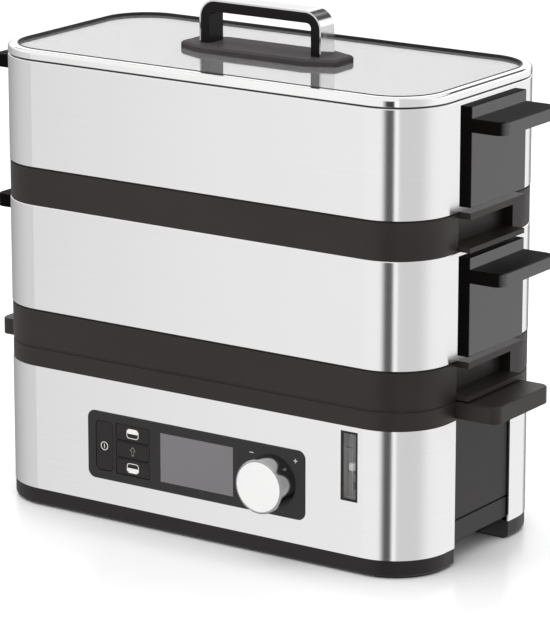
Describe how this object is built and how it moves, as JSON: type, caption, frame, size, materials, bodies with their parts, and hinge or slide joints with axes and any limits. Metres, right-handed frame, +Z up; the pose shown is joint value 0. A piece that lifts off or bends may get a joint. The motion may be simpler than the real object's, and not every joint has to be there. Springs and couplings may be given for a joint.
{
  "type": "electric food steamer",
  "caption": "Electric steamer with stacked brushed-steel baskets, black side grips, glass lid, control panel with display and turning knob, and a water level gauge.",
  "frame": {"origin": "on the table, at the centre of the appliance's overall footprint", "axes": "+Z up; the control panel faces -Y; the hand grips point along +X and -X"},
  "size_m": [0.357, 0.1656, 0.3055],
  "materials": {
    "brushed_steel": "fine horizontal brushing, satin",
    "polished_steel": "mirror polished",
    "satin_steel": "satin turned face",
    "basin_steel": "plain drawn sheet",
    "black_plastic": "satin, fine moulded grain",
    "handle_plastic": "semi-gloss",
    "panel_gloss": "high gloss",
    "key_plastic": "semi-gloss with light legends",
    "lid_glass": "clear, polished",
    "display_window": "grey, slightly diffusing",
    "gauge_window": "smoked",
    "rubber": "matt",
    "silicone": "soft sheen",
    "circuit_board": "solder mask",
    "component": "moulded",
    "heater_metal": "cast",
    "screw_steel": "zinc plated",
    "float_plastic": "white",
    "display_module": "grey liquid-crystal panel"
  },
  "bodies": {
    "base": {"base_pan": "black_plastic", "rubber_feet": "rubber", "pan_screws": "screw_steel", "base_front_shell": "brushed_steel", "base_rear_shell": "brushed_steel", "base_side_panel_left": "black_plastic", "base_side_panel_right": "black_plastic", "base_rim": "black_plastic", "boiler_basin": "basin_steel", "basin_seal": "silicone", "heating_element": "heater_metal", "thermostat": "component", "power_board": "circuit_board", "power_components": "component", "board_screws": "screw_steel", "cord_gland": "rubber", "control_bezel": "panel_gloss", "key_switches": "component", "display_lens": "display_window", "display_module": "display_module", "control_board": "circuit_board", "rotary_encoder": "component", "gauge_housing": "black_plastic", "gauge_window": "gauge_window", "gauge_guide": "screw_steel"},
    "drip_tray": {"drip_tray": "black_plastic"},
    "lower_basket": {"lower_band": "black_plastic", "lower_sleeve": "brushed_steel", "lower_handle_right": "handle_plastic", "lower_handle_left": "handle_plastic", "lower_handle_screws": "screw_steel"},
    "lower_grid": {"lower_grid": "basin_steel"},
    "upper_basket": {"upper_band": "black_plastic", "upper_sleeve": "brushed_steel", "upper_handle_right": "handle_plastic", "upper_handle_left": "handle_plastic", "upper_handle_screws": "screw_steel"},
    "upper_grid": {"upper_grid": "basin_steel"},
    "lid": {"lid_glass": "lid_glass", "lid_rim": "polished_steel", "lid_bead": "silicone", "lid_gasket": "silicone", "lid_handle_plate": "handle_plastic", "lid_handle_arch": "handle_plastic", "lid_handle_strip": "polished_steel", "lid_screws": "screw_steel", "lid_washers": "silicone"},
    "knob": {"encoder_shaft": "screw_steel", "knob_core": "black_plastic", "knob_sleeve": "polished_steel", "knob_face": "satin_steel"},
    "power_key": {"power_key": "key_plastic"},
    "upper_basket_key": {"upper_basket_key": "key_plastic"},
    "arrow_key": {"arrow_key": "key_plastic"},
    "lower_basket_key": {"lower_basket_key": "key_plastic"},
    "gauge_float": {"gauge_float": "float_plastic"}
  },
  "joints": [
    {"name": "drip_tray_lift", "type": "slide", "parent": "base", "child": "drip_tray", "axis": [0, 0, 1], "range_m": [0, 0.06]},
    {"name": "lower_basket_lift", "type": "slide", "parent": "drip_tray", "child": "lower_basket", "axis": [0, 0, 1], "range_m": [0, 0.12]},
    {"name": "lower_grid_lift", "type": "slide", "parent": "lower_basket", "child": "lower_grid", "axis": [0, 0, 1], "range_m": [0, 0.05]},
    {"name": "upper_basket_lift", "type": "slide", "parent": "lower_basket", "child": "upper_basket", "axis": [0, 0, 1], "range_m": [0, 0.12]},
    {"name": "upper_grid_lift", "type": "slide", "parent": "upper_basket", "child": "upper_grid", "axis": [0, 0, 1], "range_m": [0, 0.05]},
    {"name": "lid_lift", "type": "slide", "parent": "upper_basket", "child": "lid", "axis": [0, 0, 1], "range_m": [0, 0.12]},
    {"name": "knob_turn", "type": "hinge", "parent": "base", "child": "knob", "pos_m": [0.0555, -0.06675, 0.0463], "axis": [0, 1, 0], "continuous": true},
    {"name": "gauge_float_rise", "type": "slide", "parent": "base", "child": "gauge_float", "axis": [0, 0, 1], "range_m": [0, 0.012]},
    {"name": "power_key_press", "type": "slide", "parent": "base", "child": "power_key", "axis": [0, 1, 0], "range_m": [0, 0.0006], "stiffness_N_per_m": 1000},
    {"name": "upper_basket_key_press", "type": "slide", "parent": "base", "child": "upper_basket_key", "axis": [0, 1, 0], "range_m": [0, 0.0006], "stiffness_N_per_m": 1000},
    {"name": "arrow_key_press", "type": "slide", "parent": "base", "child": "arrow_key", "axis": [0, 1, 0], "range_m": [0, 0.0006], "stiffness_N_per_m": 1000},
    {"name": "lower_basket_key_press", "type": "slide", "parent": "base", "child": "lower_basket_key", "axis": [0, 1, 0], "range_m": [0, 0.0006], "stiffness_N_per_m": 1000}
  ]
}
